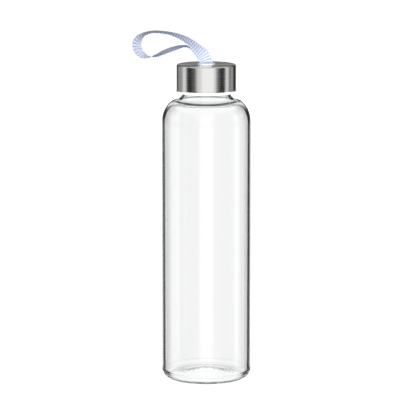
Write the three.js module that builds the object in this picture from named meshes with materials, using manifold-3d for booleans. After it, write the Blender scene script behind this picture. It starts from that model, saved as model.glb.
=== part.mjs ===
// A glass water bottle with a screw cap and a ribbon strap.
// Millimetres, +Z up, origin in the middle of the base. The ribbon leans to -X.
import * as THREE from 'three';
import { mergeVertices } from 'three/addons/utils/BufferGeometryUtils.js';
import Module from 'manifold-3d';

const wasm = await Module();
wasm.setup();

// ---- driving dimensions ----
const GAP = 0.3; // clearance between pieces that touch or slide on the real object

// glass body
const BODY_R = 32.5;
const WALL = 2.4;
const HEEL_R = 6.5; // rounding between side wall and base
const PUSH_UP = 3.5; // height of the hollow under the base
const CONTACT_INNER_R = 22.5; // the bottle stands on the ring from here to the heel
const BASE_WALL = 2.9; // the inner floor follows the hollow at this distance
const CORNER_R = 4.5; // inner rounding between floor and wall
const SHOULDER_Z = 187.3; // the straight wall ends here
const SHOULDER_RISE = 18;
const SHOULDER_RUN = 12.5;
const SHOULDER_END = 75; // degrees along its ellipse where the neck's flare takes over
const SHOULDER_WALL = 3; // the glass gathers a little at the top of the shoulder
const NECK_R = 17.9;
const NECK_Z = 209.3; // the flare starts here and opens downwards
const FLARE_RUN = 4.4;
const FLARE_RISE = 4.5;

// neck finish and screw thread
const FINISH_R = 17.5;
const MOUTH_R = 15.5;
const LIP_Z = 225.3;
const LIP_ROUND = 0.8;
const PITCH = 4; // one full turn lifts the cap by this much
const THREAD_TURNS = 1.5;
const THREAD_BASE = 1.8; // width of a thread ridge at its foot
const THREAD_CREST = 0.9;
const GLASS_THREAD_Z = 215.5; // start of the ridge on the glass
const GLASS_CREST_R = 18.6;
const CORE_THREAD_Z = 213.7; // start of the ridge in the cap
const CORE_CREST_R = 17.85;
const THREAD_ROOT_SINK = 0.5; // how far a ridge reaches into its wall
const THREAD_START = 0.04; // radians, keeps the ridge's corners off the facet edges of its wall

// cap
const CAP_TOP_Z = 230;
const SHELL_R = 21.5;
const STEEL = 0.5;
const SHELL_EDGE_R = 0.9;
const SHELL_BOTTOM_Z = 211.6;
const FLANGE_R = 21.75; // white rim under the steel
const FLANGE_BOTTOM_Z = 209.9;
const CORE_BORE_R = 19;
const CEILING_Z = 227.4;
const POT_R = 9; // well in the middle of the core that holds the swivel
const POT_WALL = 1.2;
const POT_BOTTOM_Z = 219.5;
const SEAL_INNER_R = 14.6;
const SEAL_OUTER_R = 18.7;
const SEAL_THICKNESS = 1.5;

// strap swivel
const STEM_R = 5.7;
const EYELET_R = 6.4;
const EYELET_THICKNESS = 0.7;
const STEM_BOTTOM_Z = 222.8;
const SLOT_LENGTH = 9.7;
const SLOT_WIDTH = 2.2;
const SLOT_BOTTOM_Z = 228.2; // below this the stem is two lugs
const CLIP_R = 7.5;
const CLIP_BOTTOM_Z = 223.4;
const CLIP_TOP_Z = 229.1;
const PIN_R = 0.8;
const PIN_Z = 225.6;
const PIN_LENGTH = 14.6;
const PIN_HOLE_R = 1.1;

// ribbon
const RIBBON_WIDTH = 9.2;
const RIBBON_THICKNESS = 0.6;
const RIBBON_STEPS = 99;

// Centreline of the ribbon from one sewn end, under the pin, round the loop and back:
// x, y, z, the heading of its width in degrees from +X towards +Y, and where the width
// leans, how far it rises for each unit of its length.
const RIBBON_ROUTE = [
  [0, -0.2, 224.3, 0], [0, -0.95, 224.7, 0], [0, -1.3, 225.6, 0],
  [0, -0.7, 227.8, 0], [0, -0.6, 229.6, 0],
  [-0.1, -0.6, 231.4, 0], [-0.7, -0.9, 233.8, 8], [-2.7, -1.5, 237.6, 22],
  [-6.6, -1.6, 241.6, 38, 0.05], [-11, -1.2, 245.4, 48, 0.1], [-17, -0.6, 249, 56, 0.11],
  [-24, -0.2, 251.6, 72, 0.11], [-31, 0, 252.9, 82, 0.11], [-37.5, 0, 253.3, 92, 0.11],
  [-43.2, 0, 252.1, 106, 0.08], [-47.5, 0, 249.3, 126, 0.03], [-49.7, 0, 245, 138, 0],
  [-48.8, 0, 240, 140, -0.08], [-45.5, 0, 236.7, 134, -0.28], [-41, 0, 235.5, 112, -0.22],
  [-36.2, 0, 236.1, 98, 0.08], [-30, 0, 238.7, 114, 0.11], [-23, 0.3, 241.3, 116, 0.11],
  [-16.5, 0.9, 242.8, 100, 0.08], [-11.2, 1.5, 242, 62, 0.05], [-6.6, 1.8, 239.6, 34],
  [-2.7, 1.5, 236.4, 18], [-0.7, 0.9, 233.2, 6], [-0.1, 0.6, 231.4, 0],
  [0, 0.6, 229.6, 0], [0, 0.7, 227.8, 0],
  [0, 1.3, 225.6, 0], [0, 0.95, 224.7, 0], [0, 0.2, 224.3, 0],
];

const SEGMENTS = 40;

// ---- materials ----
const GLASS = new THREE.MeshStandardMaterial({
  color: 0xe4efe9, roughness: 0.05, metalness: 0, transparent: true, opacity: 0.4,
});
const BRUSHED_STEEL = new THREE.MeshStandardMaterial({ color: 0xc4c5c6, roughness: 0.3, metalness: 1 });
const WHITE_PLASTIC = new THREE.MeshStandardMaterial({ color: 0xf4f5f6, roughness: 0.45, metalness: 0 });
const SILICONE = new THREE.MeshStandardMaterial({ color: 0xe6e7e6, roughness: 0.6, metalness: 0 });
const STEEL_PIN = new THREE.MeshStandardMaterial({ color: 0xb9babc, roughness: 0.35, metalness: 1 });
const RIBBON_WEAVE = new THREE.MeshStandardMaterial({ color: 0xc9cfe2, roughness: 0.9, metalness: 0 });

// ---- helpers ----
// Turns a closed geometry into a solid for cutting and joining.
function toSolid(geometry) {
  const plain = geometry.clone();
  plain.deleteAttribute('normal');
  plain.deleteAttribute('uv');
  const merged = mergeVertices(plain, 1e-4);
  const index = merged.index.array;
  const triangles = [];
  for (let i = 0; i < index.length; i += 3) {
    const [a, b, c] = [index[i], index[i + 1], index[i + 2]];
    if (a !== b && b !== c && c !== a) triangles.push(a, b, c);
  }
  return new wasm.Manifold(new wasm.Mesh({
    numProp: 3,
    vertProperties: new Float32Array(merged.attributes.position.array),
    triVerts: new Uint32Array(triangles),
  }));
}

function toMesh(name, solid, material) {
  const { vertProperties, triVerts } = solid.getMesh();
  const geometry = new THREE.BufferGeometry();
  geometry.setAttribute('position', new THREE.BufferAttribute(new Float32Array(vertProperties), 3));
  geometry.setIndex(new THREE.BufferAttribute(new Uint32Array(triVerts), 1));
  geometry.computeVertexNormals();
  const mesh = new THREE.Mesh(geometry, material);
  mesh.name = name;
  return mesh;
}

// Turns a profile of [radius, z] points about Z. Material is to the left of its direction.
function lathe(profile, segments = SEGMENTS) {
  const points = profile.map(([r, z]) => new THREE.Vector2(r, z));
  return toSolid(new THREE.LatheGeometry(points, segments).rotateX(Math.PI / 2));
}

// Points on an elliptical arc in a profile, angles in degrees from +r towards +z.
function arc(r, z, radial, axial, from, to, steps) {
  return Array.from({ length: steps + 1 }, (_, i) => {
    const a = THREE.MathUtils.degToRad(from + ((to - from) * i) / steps);
    return [r + radial * Math.cos(a), z + axial * Math.sin(a)];
  });
}

function box(x, y, zLow, zHigh) {
  return toSolid(new THREE.BoxGeometry(x, y, zHigh - zLow).translate(0, 0, (zLow + zHigh) / 2));
}

// A rod along X at height z.
function rod(radius, length, z, segments = 16) {
  return toSolid(new THREE.CylinderGeometry(radius, radius, length, segments)
    .rotateZ(Math.PI / 2).translate(0, 0, z));
}

// Joins rings of four corners into a closed bar. Each ring runs anticlockwise as seen
// from the end of the bar, looking back along it.
function loft(rings) {
  const positions = rings.flat().flatMap((p) => p.toArray());
  const index = [0, 2, 1, 0, 3, 2];
  for (let i = 0; i + 1 < rings.length; i++) {
    for (let k = 0; k < 4; k++) {
      const a = 4 * i + k;
      const b = 4 * i + ((k + 1) % 4);
      index.push(a, b, b + 4, a, b + 4, a + 4);
    }
  }
  const last = 4 * (rings.length - 1);
  index.push(last, last + 1, last + 2, last, last + 2, last + 3);
  const geometry = new THREE.BufferGeometry();
  geometry.setAttribute('position', new THREE.BufferAttribute(new Float32Array(positions), 3));
  geometry.setIndex(index);
  return toSolid(geometry);
}

// A helical ridge from a wall at wallR to a crest at crestR, rising PITCH per turn and
// fading to nothing over its first and last sixth of a turn.
function thread(wallR, crestR, startZ) {
  const outward = Math.sign(crestR - wallR);
  const footR = wallR - outward * THREAD_ROOT_SINK;
  const stepsPerTurn = 24;
  const steps = Math.round(THREAD_TURNS * stepsPerTurn);
  const fade = stepsPerTurn / 6;
  const rings = [];
  for (let i = 0; i <= steps; i++) {
    const angle = THREAD_START + (2 * Math.PI * i) / stepsPerTurn;
    const z = startZ + (PITCH * i) / stepsPerTurn;
    const full = Math.min(1, i / fade, (steps - i) / fade);
    const topR = wallR - outward * 0.1 + (crestR - wallR + outward * 0.1) * full;
    const at = (r, dz) => new THREE.Vector3(r * Math.cos(angle), r * Math.sin(angle), z + dz);
    const ring = [
      at(footR, THREAD_BASE / 2), at(topR, THREAD_CREST / 2),
      at(topR, -THREAD_CREST / 2), at(footR, -THREAD_BASE / 2),
    ];
    rings.push(outward > 0 ? ring : ring.reverse());
  }
  return loft(rings);
}

// ---- pieces ----
function glassBottle() {
  const heelCentre = BODY_R - HEEL_R;
  const innerR = BODY_R - WALL;
  const cornerCentre = innerR - CORNER_R;
  const shoulderCentre = BODY_R - SHOULDER_RUN;
  const innerRise = SHOULDER_RISE - SHOULDER_WALL;
  const flareCentre = NECK_R + FLARE_RUN;
  const innerFlareRise = FLARE_RISE + SHOULDER_WALL;
  const steps = 6;
  const pushUp = Array.from({ length: steps + 1 }, (_, i) => {
    const r = (CONTACT_INNER_R * i) / steps;
    return [r, (PUSH_UP * (1 + Math.cos((Math.PI * r) / CONTACT_INNER_R))) / 2];
  });
  const floor = pushUp.map(([r, z]) => [r, z + BASE_WALL]).reverse();
  const profile = [
    ...pushUp,
    ...arc(heelCentre, HEEL_R, HEEL_R, HEEL_R, -90, 0, 7),
    ...arc(shoulderCentre, SHOULDER_Z, SHOULDER_RUN, SHOULDER_RISE, 0, SHOULDER_END, 8),
    ...arc(flareCentre, NECK_Z, FLARE_RUN, FLARE_RISE, 262, 180, 6),
    [FINISH_R, NECK_Z + 0.6],
    ...arc(FINISH_R - LIP_ROUND, LIP_Z - LIP_ROUND, LIP_ROUND, LIP_ROUND, 0, 90, 3),
    ...arc(MOUTH_R + LIP_ROUND, LIP_Z - LIP_ROUND, LIP_ROUND, LIP_ROUND, 90, 180, 3),
    ...arc(flareCentre, NECK_Z, flareCentre - MOUTH_R, innerFlareRise, 180, 262, 6),
    ...arc(shoulderCentre, SHOULDER_Z, innerR - shoulderCentre, innerRise, SHOULDER_END, 0, 8),
    ...arc(cornerCentre, BASE_WALL + CORNER_R, CORNER_R, CORNER_R, 0, -90, 6),
    ...floor,
  ];
  const solid = lathe(profile).add(thread(FINISH_R, GLASS_CREST_R, GLASS_THREAD_Z));
  return toMesh('glass_bottle', solid, GLASS);
}

function capCore() {
  const coreR = SHELL_R - STEEL - GAP;
  const topZ = CAP_TOP_Z - STEEL - GAP;
  const potInnerR = POT_R - POT_WALL;
  const flangeTopZ = SHELL_BOTTOM_Z - GAP;
  const profile = [
    [0, POT_BOTTOM_Z], [POT_R - 0.6, POT_BOTTOM_Z], [POT_R, POT_BOTTOM_Z + 0.6], [POT_R, CEILING_Z],
    [CORE_BORE_R, CEILING_Z], [CORE_BORE_R, FLANGE_BOTTOM_Z + 0.6], [CORE_BORE_R + 0.6, FLANGE_BOTTOM_Z],
    [FLANGE_R - 0.4, FLANGE_BOTTOM_Z], [FLANGE_R, FLANGE_BOTTOM_Z + 0.4], [FLANGE_R, flangeTopZ - 0.2],
    [FLANGE_R - 0.2, flangeTopZ], [coreR, flangeTopZ], [coreR, topZ - 0.8], [coreR - 0.8, topZ],
    [potInnerR, topZ], [potInnerR, POT_BOTTOM_Z + POT_WALL], [0, POT_BOTTOM_Z + POT_WALL],
  ];
  const solid = lathe(profile).add(thread(CORE_BORE_R, CORE_CREST_R, CORE_THREAD_Z));
  return toMesh('cap_core', solid, WHITE_PLASTIC);
}

function capShell() {
  const edgeCentre = SHELL_R - SHELL_EDGE_R;
  const edgeZ = CAP_TOP_Z - SHELL_EDGE_R;
  const innerEdge = SHELL_EDGE_R - STEEL;
  const holeR = STEM_R + GAP;
  const profile = [
    [SHELL_R - STEEL, SHELL_BOTTOM_Z], [SHELL_R, SHELL_BOTTOM_Z],
    ...arc(edgeCentre, edgeZ, SHELL_EDGE_R, SHELL_EDGE_R, 0, 90, 5),
    [holeR, CAP_TOP_Z], [holeR, CAP_TOP_Z - STEEL],
    ...arc(edgeCentre, edgeZ, innerEdge, innerEdge, 90, 0, 5),
    [SHELL_R - STEEL, SHELL_BOTTOM_Z],
  ];
  return toMesh('cap_shell', lathe(profile), BRUSHED_STEEL);
}

function sealRing() {
  const low = LIP_Z + GAP;
  const high = low + SEAL_THICKNESS;
  const ease = 0.3;
  const profile = [
    [SEAL_INNER_R, low + ease], [SEAL_INNER_R + ease, low], [SEAL_OUTER_R - ease, low],
    [SEAL_OUTER_R, low + ease], [SEAL_OUTER_R, high - ease], [SEAL_OUTER_R - ease, high],
    [SEAL_INNER_R + ease, high], [SEAL_INNER_R, high - ease], [SEAL_INNER_R, low + ease],
  ];
  return toMesh('seal_ring', lathe(profile), SILICONE);
}

function strapEyelet() {
  const flangeZ = CAP_TOP_Z + GAP;
  const topZ = flangeZ + EYELET_THICKNESS;
  const profile = [
    [0, STEM_BOTTOM_Z], [STEM_R - 0.3, STEM_BOTTOM_Z], [STEM_R, STEM_BOTTOM_Z + 0.3], [STEM_R, flangeZ],
    [EYELET_R, flangeZ], [EYELET_R, topZ - 0.35], [EYELET_R - 0.35, topZ], [0, topZ],
  ];
  const slot = box(SLOT_LENGTH, SLOT_WIDTH, SLOT_BOTTOM_Z - 1, topZ + 1);
  const betweenLugs = box(SLOT_LENGTH, 4 * STEM_R, STEM_BOTTOM_Z - 1, SLOT_BOTTOM_Z);
  const solid = lathe(profile, 36).subtract(slot).subtract(betweenLugs)
    .subtract(rod(PIN_HOLE_R, 4 * STEM_R, PIN_Z));
  return toMesh('strap_eyelet', solid, WHITE_PLASTIC);
}

function eyeletClip() {
  const boreR = STEM_R + GAP;
  const profile = [
    [boreR, CLIP_BOTTOM_Z], [CLIP_R - 0.3, CLIP_BOTTOM_Z], [CLIP_R, CLIP_BOTTOM_Z + 0.3],
    [CLIP_R, CLIP_TOP_Z], [boreR, CLIP_TOP_Z], [boreR, CLIP_BOTTOM_Z],
  ];
  const solid = lathe(profile, 36).subtract(rod(PIN_HOLE_R, 4 * CLIP_R, PIN_Z));
  return toMesh('eyelet_clip', solid, WHITE_PLASTIC);
}

function strapPin() {
  return toMesh('strap_pin', rod(PIN_R, PIN_LENGTH, PIN_Z), STEEL_PIN);
}

// A flat strip along the route, its width turned by each point's heading.
function strapRibbon() {
  const smooth = (points) => new THREE.CatmullRomCurve3(points, false, 'catmullrom', 0.5);
  const centre = smooth(RIBBON_ROUTE.map(([x, y, z]) => new THREE.Vector3(x, y, z)));
  const pose = smooth(RIBBON_ROUTE.map(([, , , turn, lean = 0]) => new THREE.Vector3(turn, lean, 0)));
  const rings = [];
  for (let i = 0; i <= RIBBON_STEPS; i++) {
    const t = i / RIBBON_STEPS;
    const point = centre.getPoint(t);
    const tangent = centre.getTangent(t);
    const { x: turnDegrees, y: lean } = pose.getPoint(t);
    const turn = THREE.MathUtils.degToRad(turnDegrees);
    const across = new THREE.Vector3(Math.cos(turn), Math.sin(turn), lean);
    across.addScaledVector(tangent, -across.dot(tangent)).normalize();
    const face = new THREE.Vector3().crossVectors(tangent, across);
    const corner = (a, b) => point.clone()
      .addScaledVector(across, (a * RIBBON_WIDTH) / 2)
      .addScaledVector(face, (b * RIBBON_THICKNESS) / 2);
    rings.push([corner(1, 1), corner(-1, 1), corner(-1, -1), corner(1, -1)]);
  }
  return toMesh('strap_ribbon', loft(rings), RIBBON_WEAVE);
}

const group = new THREE.Group();
group.add(
  glassBottle(), capCore(), capShell(), sealRing(),
  strapEyelet(), eyeletClip(), strapPin(), strapRibbon(),
);
export default group;
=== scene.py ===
# %% [markdown]
# # A glass water bottle, made in cells
#
# The bottle is blown from clear borosilicate glass. Its screw cap is a brushed steel cup
# over a white plastic core, and a woven ribbon loop hangs from a swivel in the cap's middle.
# Each cell makes one piece or one finish. Sizes are typed in millimetres and turned into
# metres at the moment a mesh is made, because every object in the frame is in metres.
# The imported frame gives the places: nothing below moves or resizes what it holds.

# %% Load the frame
import math

import bmesh
import bpy
import numpy as np
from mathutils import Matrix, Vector


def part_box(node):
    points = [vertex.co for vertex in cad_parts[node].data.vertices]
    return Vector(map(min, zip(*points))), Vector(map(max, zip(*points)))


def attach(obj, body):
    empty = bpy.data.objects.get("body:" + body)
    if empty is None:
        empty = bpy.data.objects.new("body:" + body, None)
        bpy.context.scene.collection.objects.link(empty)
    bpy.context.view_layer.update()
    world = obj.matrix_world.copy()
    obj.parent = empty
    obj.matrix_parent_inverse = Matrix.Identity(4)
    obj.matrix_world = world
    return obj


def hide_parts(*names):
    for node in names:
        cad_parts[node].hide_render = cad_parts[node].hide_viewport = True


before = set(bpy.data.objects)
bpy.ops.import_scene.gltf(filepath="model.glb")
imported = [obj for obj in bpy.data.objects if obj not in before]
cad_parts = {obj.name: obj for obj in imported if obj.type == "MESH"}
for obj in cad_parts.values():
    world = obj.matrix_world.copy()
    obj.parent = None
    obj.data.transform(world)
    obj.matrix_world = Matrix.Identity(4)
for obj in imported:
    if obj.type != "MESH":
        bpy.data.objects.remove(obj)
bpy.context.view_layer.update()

MM = 0.001
scene = bpy.context.scene

# %% [markdown]
# ## Driving sizes
#
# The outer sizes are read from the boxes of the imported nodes, in millimetres. The inner
# ones, such as a wall's thickness, can't be read from a box, so they are named here.

# %% Read the driving sizes


def span(node):
    """A node's lowest and highest corner in millimetres."""
    low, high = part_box(node)
    return [v / MM for v in low], [v / MM for v in high]


BODY_R = span("glass_bottle")[1][0]
LIP_Z = span("glass_bottle")[1][2]
SHELL_R = span("cap_shell")[1][0]
SHELL_BOTTOM_Z = span("cap_shell")[0][2]
CAP_TOP_Z = span("cap_shell")[1][2]
FLANGE_R = span("cap_core")[1][0]
FLANGE_BOTTOM_Z = span("cap_core")[0][2]
CORE_TOP_Z = span("cap_core")[1][2]
SEAL_LOW_Z, SEAL_HIGH_Z = span("seal_ring")[0][2], span("seal_ring")[1][2]
SEAL_OUTER_R = span("seal_ring")[1][0]
EYELET_R = span("strap_eyelet")[1][0]
EYELET_TOP_Z = span("strap_eyelet")[1][2]
STEM_BOTTOM_Z = span("strap_eyelet")[0][2]
CLIP_R = span("eyelet_clip")[1][0]
CLIP_LOW_Z, CLIP_HIGH_Z = span("eyelet_clip")[0][2], span("eyelet_clip")[1][2]
PIN_HALF = span("strap_pin")[1][0]
PIN_R = (span("strap_pin")[1][2] - span("strap_pin")[0][2]) / 2
PIN_Z = (span("strap_pin")[1][2] + span("strap_pin")[0][2]) / 2
print(f"body {2 * BODY_R:.1f} mm across, lip at {LIP_Z:.1f} mm, cap {2 * SHELL_R:.1f} mm across")

# %% [markdown]
# ## Camera
#
# A long lens far away keeps the sides of the bottle almost parallel. The camera stands a
# little above the bottle and looks down, so that the cap's top and the base show as thin
# ellipses.

# %% Place the camera
CAMERA_AWAY = 1.741
CAMERA_UP = 0.4295
CAMERA_ASIDE = 0.00122
AIM_UP = 0.1251
LENS_MM = 210.5
SENSOR_MM = 36
SIGHT_LIMIT = 200

camera_data = bpy.data.cameras.new("camera")
camera_data.lens = LENS_MM
camera_data.sensor_width = SENSOR_MM
camera_data.clip_end = SIGHT_LIMIT
camera = bpy.data.objects.new("camera", camera_data)
scene.collection.objects.link(camera)
camera.location = (CAMERA_ASIDE, -CAMERA_AWAY, CAMERA_UP)
aim = Vector((CAMERA_ASIDE, 0, AIM_UP)) - camera.location
camera.rotation_euler = aim.to_track_quat("-Z", "Y").to_euler()
scene.camera = camera
print(f"camera looks down {math.degrees(math.atan2(-aim.z, aim.y)):.1f} degrees")

# %% [markdown]
# ## Helpers for meshes
#
# Nearly every piece of this object is turned: it is round about one upright axis. Blender
# can do that with the Screw modifier, but a few lines of code give more: the radius can be
# changed by angle, which is how a screw thread is raised from the same skin as the neck.
# One closed skin matters for glass, because light bends at every surface that it meets.

# %% Mesh helpers
SIDES = 192
SHARP_ABOVE = 40


def arc(r, z, radial, axial, start, end, steps):
    """Points on an elliptical arc of a profile, angles in degrees from outwards to up."""
    angles = np.radians(np.linspace(start, end, steps + 1))
    return [(r + radial * math.cos(a), z + axial * math.sin(a)) for a in angles]


def line(start, end, steps):
    """Evenly spaced points after start, up to end."""
    return [tuple(np.array(start) + (np.array(end) - start) * i / steps) for i in range(1, steps + 1)]


def new_piece(name, vertices, faces, sharp_above=SHARP_ABOVE):
    """An object from vertices in metres, shaded smooth but for edges sharper than an angle."""
    mesh = bpy.data.meshes.new(name)
    mesh.from_pydata([tuple(v) for v in vertices], [], faces)
    mesh.validate()
    mesh.polygons.foreach_set("use_smooth", [True] * len(mesh.polygons))
    mesh.set_sharp_from_angle(angle=math.radians(sharp_above))
    piece = bpy.data.objects.new(name, mesh)
    scene.collection.objects.link(piece)
    return piece


def turned(name, profile, sides=SIDES, reshape=None):
    """Turns a profile of (radius, height) points in millimetres about the upright axis.
    It starts and ends on the axis, or its last point joins its first. reshape(radius,
    height, angles) gives other radii, one for each angle."""
    on_axis = profile[0][0] == 0
    angles = np.linspace(0, 2 * math.pi, sides, endpoint=False)
    vertices, rings = [], []
    for r, z in profile:
        if r == 0:
            rings.append([len(vertices)] * sides)
            vertices.append((0, 0, z * MM))
            continue
        radii = reshape(r, z, angles) if reshape else np.full(sides, float(r))
        rings.append(list(range(len(vertices), len(vertices) + sides)))
        ring = np.stack([radii * np.cos(angles), radii * np.sin(angles), np.full(sides, z)], -1)
        vertices.extend(ring * MM)
    faces = []
    for i in range(len(rings) - 1 if on_axis else len(rings)):
        low, high = rings[i], rings[(i + 1) % len(rings)]
        for k in range(sides):
            n = (k + 1) % sides
            corners = [low[k], low[n], high[n], high[k]]
            faces.append(list(dict.fromkeys(corners)))
    return new_piece(name, vertices, faces)


def cut(piece, cutter):
    """Takes one mesh away from another for good, and removes the cutter."""
    modifier = piece.modifiers.new("cut", "BOOLEAN")
    modifier.operation = "DIFFERENCE"
    modifier.solver = "EXACT"
    modifier.object = cutter
    depsgraph = bpy.context.evaluated_depsgraph_get()
    result = bpy.data.meshes.new_from_object(piece.evaluated_get(depsgraph))
    piece.modifiers.clear()
    piece.data = result
    result.set_sharp_from_angle(angle=math.radians(SHARP_ABOVE))
    bpy.data.objects.remove(cutter)


def report(piece):
    """Prints what a cell has made."""
    size = [v / MM for v in piece.dimensions]
    print(f"{piece.name}: {len(piece.data.polygons)} faces, {size[0]:.1f} x {size[1]:.1f} x {size[2]:.1f} mm")


# %% [markdown]
# ## Helpers for materials
#
# Colours are written the way a paint chart gives them, as sRGB hex codes, and one function
# turns them into the linear numbers that a shader works with. One more function adds a
# node, sets it and links it, so that a material reads as a list of its steps.

# %% Material helpers


def linear(code):
    """An sRGB hex code as linear red, green, blue and alpha."""
    channels = [int(code[i:i + 2], 16) / 255 for i in (1, 3, 5)]
    return tuple(c / 12.92 if c <= 0.04045 else ((c + 0.055) / 1.055) ** 2.4 for c in channels) + (1.0,)


def add(tree, kind, inputs=(), **settings):
    """Adds one node. inputs pairs a socket's name or number with a value or an output."""
    node = tree.nodes.new(kind)
    for key, value in settings.items():
        setattr(node, key, value)
    for socket, value in dict(inputs).items():
        if isinstance(value, bpy.types.NodeSocket):
            tree.links.new(value, node.inputs[socket])
        else:
            node.inputs[socket].default_value = value
    return node


def ramp(tree, factor, stops):
    """A colour ramp through grey or colour stops of (place, value)."""
    node = add(tree, "ShaderNodeValToRGB", {"Fac": factor})
    while len(node.color_ramp.elements) < len(stops):
        node.color_ramp.elements.new(1)
    for element, (place, value) in zip(node.color_ramp.elements, stops):
        element.position = place
        element.color = (value, value, value, 1) if isinstance(value, (int, float)) else value
    return node.outputs["Color"]


def new_material(name, **values):
    """A material with a Principled shader, its sockets set from values such as
    Base_Color or IOR. Returns the material, its tree and its shader."""
    material = bpy.data.materials.new(name)
    material.use_nodes = True
    tree = material.node_tree
    shader = tree.nodes["Principled BSDF"]
    for key, value in values.items():
        shader.inputs[key.replace("_", " ")].default_value = value
    return material, tree, shader


def per_mm(size):
    """The texture scale that makes one feature this many millimetres long."""
    return 1 / (size * MM)


# %% [markdown]
# ## Ribbon: its route
#
# The strap is a flat woven ribbon, folded into a loop and sewn to itself under the pin
# inside the cap. A ribbon is bent by hand, not by a rule, so its route is a short list of
# points: where its middle runs, and which way its width points. The first and the last
# points sit round the pin. Between them the ribbon rises through the eyelet, leans over,
# turns over at the far end and comes back. A Catmull-Rom curve goes through all of them.

# %% Route of the ribbon
RIBBON_WIDTH = 9.2
RIBBON_THICKNESS = 0.6
# x, y, z in millimetres, the heading of the width in degrees from +X towards +Y, and where
# it leans, how far it rises for each unit of its length
RIBBON_ROUTE = [
    (0, -0.2, 224.3, 0), (0, -0.95, 224.7, 0), (0, -1.3, 225.6, 0),
    (0, -0.7, 227.8, 0), (0, -0.6, 229.6, 0),
    (-0.1, -0.6, 231.4, 0), (-0.7, -0.9, 233.8, 8), (-2.7, -1.5, 237.6, 22),
    (-6.6, -1.6, 241.6, 38, 0.05), (-11, -1.2, 245.4, 48, 0.1), (-17, -0.6, 249, 56, 0.11),
    (-24, -0.2, 251.6, 72, 0.11), (-31, 0, 252.9, 82, 0.11), (-37.5, 0, 253.3, 92, 0.11),
    (-43.2, 0, 252.1, 106, 0.08), (-47.5, 0, 249.3, 126, 0.03), (-49.7, 0, 245, 138, 0),
    (-48.8, 0, 240, 140, -0.08), (-45.5, 0, 236.7, 134, -0.28), (-41, 0, 235.5, 112, -0.22),
    (-36.2, 0, 236.1, 98, 0.08), (-30, 0, 238.7, 114, 0.11), (-23, 0.3, 241.3, 116, 0.11),
    (-16.5, 0.9, 242.8, 100, 0.08), (-11.2, 1.5, 242, 62, 0.05), (-6.6, 1.8, 239.6, 34),
    (-2.7, 1.5, 236.4, 18), (-0.7, 0.9, 233.2, 6), (-0.1, 0.6, 231.4, 0),
    (0, 0.6, 229.6, 0), (0, 0.7, 227.8, 0),
    (0, 1.3, 225.6, 0), (0, 0.95, 224.7, 0), (0, 0.2, 224.3, 0),
]


def catmull_rom(points, steps):
    """Points on a uniform Catmull-Rom curve through the given rows, short rows ending in 0."""
    longest = max(len(row) for row in points)
    p = np.array([list(row) + [0] * (longest - len(row)) for row in points], float)
    p = np.vstack([2 * p[0] - p[1], p, 2 * p[-1] - p[-2]])
    t = np.linspace(0, 1, steps, endpoint=False)[:, None]
    parts = []
    for a, b, c, d in zip(p, p[1:], p[2:], p[3:]):
        parts.append(b + 0.5 * t * (c - a + t * (2 * a - 5 * b + 4 * c - d + t * (3 * (b - c) + d - a))))
    return np.vstack(parts + [p[-2:-1]])


def along(curve, count):
    """The curve's rows again, at count places with even spacing, and its length."""
    steps = np.linalg.norm(np.diff(curve[:, :3], axis=0), axis=1)
    travelled = np.concatenate([[0], np.cumsum(steps)])
    places = np.linspace(0, travelled[-1], count)
    return np.stack([np.interp(places, travelled, column) for column in curve.T], -1), travelled[-1]


ribbon_curve = catmull_rom(RIBBON_ROUTE, 40)
ribbon_length = along(ribbon_curve, 2)[1]
print(f"ribbon {ribbon_length:.1f} mm long, {RIBBON_WIDTH} mm wide")

# %% [markdown]
# ## Ribbon: its weave
#
# The ribbon is grosgrain: thick weft cords lie across it under a fine warp, so it has
# ribs from edge to edge, about two millimetres apart, and a firm woven edge on each side.
# The ribs are real geometry here, because they show in its outline. Each ring of the sweep
# is a thin rectangle with round ends, made a little thicker on a rib and thinner between.

# %% Sweep the ribbon
RIB_PITCH = 1.9
RIB_HEIGHT = 0.16
RIB_ROUNDNESS = 0.5
RIB_MIDDLE = 0.7
EDGE_SHARE = 0.3
STEPS_PER_RIB = 12
ACROSS = 14


def ribbon_section():
    """One ring of the ribbon, anticlockwise: (across, up, share of the rib that it takes)."""
    half, up = RIBBON_WIDTH / 2, RIBBON_THICKNESS / 2 - RIB_HEIGHT / 2
    flat = half - up
    places = np.linspace(-flat, flat, ACROSS)
    top = [(x, up, 1.0) for x in places[::-1]]
    bottom = [(x, -up, 1.0) for x in places]
    fan = np.radians([-60, -30, 0, 30, 60])
    left = [(-flat + up * math.cos(a), up * math.sin(a), EDGE_SHARE) for a in fan + math.pi]
    right = [(flat + up * math.cos(a), up * math.sin(a), EDGE_SHARE) for a in fan]
    return np.array(top + left + bottom + right)


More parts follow.
